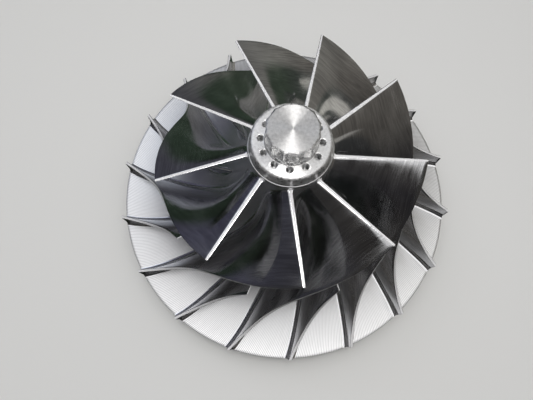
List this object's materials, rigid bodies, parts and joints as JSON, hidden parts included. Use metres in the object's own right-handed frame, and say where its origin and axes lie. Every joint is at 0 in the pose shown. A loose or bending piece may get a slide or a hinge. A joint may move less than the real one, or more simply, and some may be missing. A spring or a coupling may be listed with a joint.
{
  "type": "turbocharger compressor wheel",
  "caption": "Centrifugal compressor wheel: swept full blades and shorter splitter blades in turn on a flared hub and disc, with a drive head and balance holes at its nose.",
  "frame": {"origin": "middle of the shaft boss's ring face, in the plane that the wheel rests on", "axes": "+Z along the wheel's axis towards the nose; +X to the right and +Y up in the picture"},
  "size_m": [0.24, 0.24, 0.1315],
  "materials": {
    "milled_disc": "satin, with fine milling lines that run along the passages between the blades",
    "milled_blade": "smooth milled, half gloss, dark in reflection",
    "turned_nose": "bright turned",
    "turned_back": "plain turned"
  },
  "bodies": {
    "root": {"hub_disc": "milled_disc", "nose_shoulder": "turned_nose", "drive_head": "turned_nose", "shaft_boss": "turned_back", "full_blade_1": "milled_blade", "full_blade_2": "milled_blade", "full_blade_3": "milled_blade", "full_blade_4": "milled_blade", "full_blade_5": "milled_blade", "full_blade_6": "milled_blade", "full_blade_7": "milled_blade", "full_blade_8": "milled_blade", "full_blade_9": "milled_blade", "splitter_blade_1": "milled_blade", "splitter_blade_2": "milled_blade", "splitter_blade_3": "milled_blade", "splitter_blade_4": "milled_blade", "splitter_blade_5": "milled_blade", "splitter_blade_6": "milled_blade", "splitter_blade_7": "milled_blade", "splitter_blade_8": "milled_blade", "splitter_blade_9": "milled_blade"}
  },
  "joints": []
}
